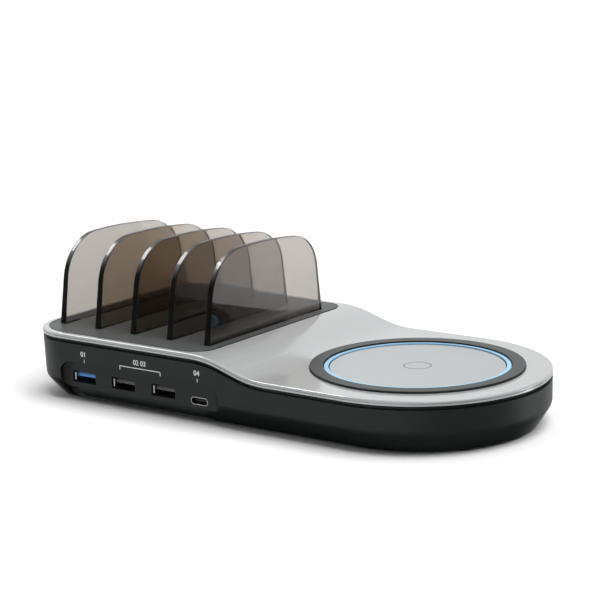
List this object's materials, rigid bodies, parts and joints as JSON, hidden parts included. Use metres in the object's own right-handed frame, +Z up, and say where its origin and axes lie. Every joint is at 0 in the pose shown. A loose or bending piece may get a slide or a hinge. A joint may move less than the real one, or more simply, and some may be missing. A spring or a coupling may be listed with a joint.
{
  "type": "charging station organizer",
  "caption": "Desk charging station with a rack of lift-out smoked dividers on a raised deck, an S-shaped ramp to a round wireless pad with a light ring, and a recessed row of USB sockets",
  "frame": {"origin": "on the table, at the bottom of the rubber feet, under the middle of the body's length and width", "axes": "+X runs from the rack to the wireless pad, -Y is the side with the USB sockets, +Z is up"},
  "size_m": [0.225, 0.111, 0.0684],
  "materials": {
    "tub_plastic": "fine matte texture",
    "cover_silver": "satin silver lacquer",
    "deck_grey": "matte",
    "divider_smoke": "clear, smoked, polished edges",
    "grip_rubber": "soft matte",
    "light_guide": "milky, lit from below",
    "disc_silver": "satin silver lacquer",
    "inner_plastic": "moulded",
    "ferrite_grey": "sintered",
    "coil_copper": "enamelled copper",
    "board_green": "solder mask",
    "chip_white": "moulded",
    "chip_black": "moulded",
    "screw_steel": "plain",
    "socket_metal": "plated sheet",
    "tongue_dark": "moulded",
    "tongue_blue": "moulded",
    "pin_metal": "plated",
    "capacitor_can": "drawn can",
    "lead_cover": "smooth",
    "foot_rubber": "soft matte"
  },
  "bodies": {
    "base": {"lower_tub": "tub_plastic", "top_cover": "cover_silver", "deck_plate": "deck_grey", "pad_grip_ring": "grip_rubber", "light_ring": "light_guide", "pad_disc": "disc_silver", "coil_carrier": "inner_plastic", "ferrite_plate": "ferrite_grey", "charging_coil": "coil_copper", "light_board": "board_green", "light_chips": "chip_white", "carrier_screws": "screw_steel", "main_board": "board_green", "board_screws": "screw_steel", "usb_c_shell": "socket_metal", "usb_c_tongue": "tongue_dark", "power_inlet": "inner_plastic", "inlet_pin": "pin_metal", "power_inductors": "ferrite_grey", "filter_capacitors": "capacitor_can", "controller_chips": "chip_black", "pad_board": "board_green", "pad_chips": "chip_black", "lead_plugs": "chip_white", "pad_lead": "lead_cover", "cover_screws": "screw_steel", "rubber_feet": "foot_rubber", "usb_a_tongue_1": "tongue_blue", "usb_a_tongue_2": "tongue_dark", "usb_a_tongue_3": "tongue_dark", "usb_a_shell_1": "socket_metal", "usb_a_shell_2": "socket_metal", "usb_a_shell_3": "socket_metal"},
    "divider_1": {"divider_1": "divider_smoke"},
    "divider_2": {"divider_2": "divider_smoke"},
    "divider_3": {"divider_3": "divider_smoke"},
    "divider_4": {"divider_4": "divider_smoke"},
    "divider_5": {"divider_5": "divider_smoke"}
  },
  "joints": [
    {"name": "divider_1_lift", "type": "slide", "parent": "base", "child": "divider_1", "axis": [0, 0, 1], "range_m": [0, 0.05]},
    {"name": "divider_2_lift", "type": "slide", "parent": "base", "child": "divider_2", "axis": [0, 0, 1], "range_m": [0, 0.05]},
    {"name": "divider_3_lift", "type": "slide", "parent": "base", "child": "divider_3", "axis": [0, 0, 1], "range_m": [0, 0.05]},
    {"name": "divider_4_lift", "type": "slide", "parent": "base", "child": "divider_4", "axis": [0, 0, 1], "range_m": [0, 0.05]},
    {"name": "divider_5_lift", "type": "slide", "parent": "base", "child": "divider_5", "axis": [0, 0, 1], "range_m": [0, 0.05]}
  ]
}
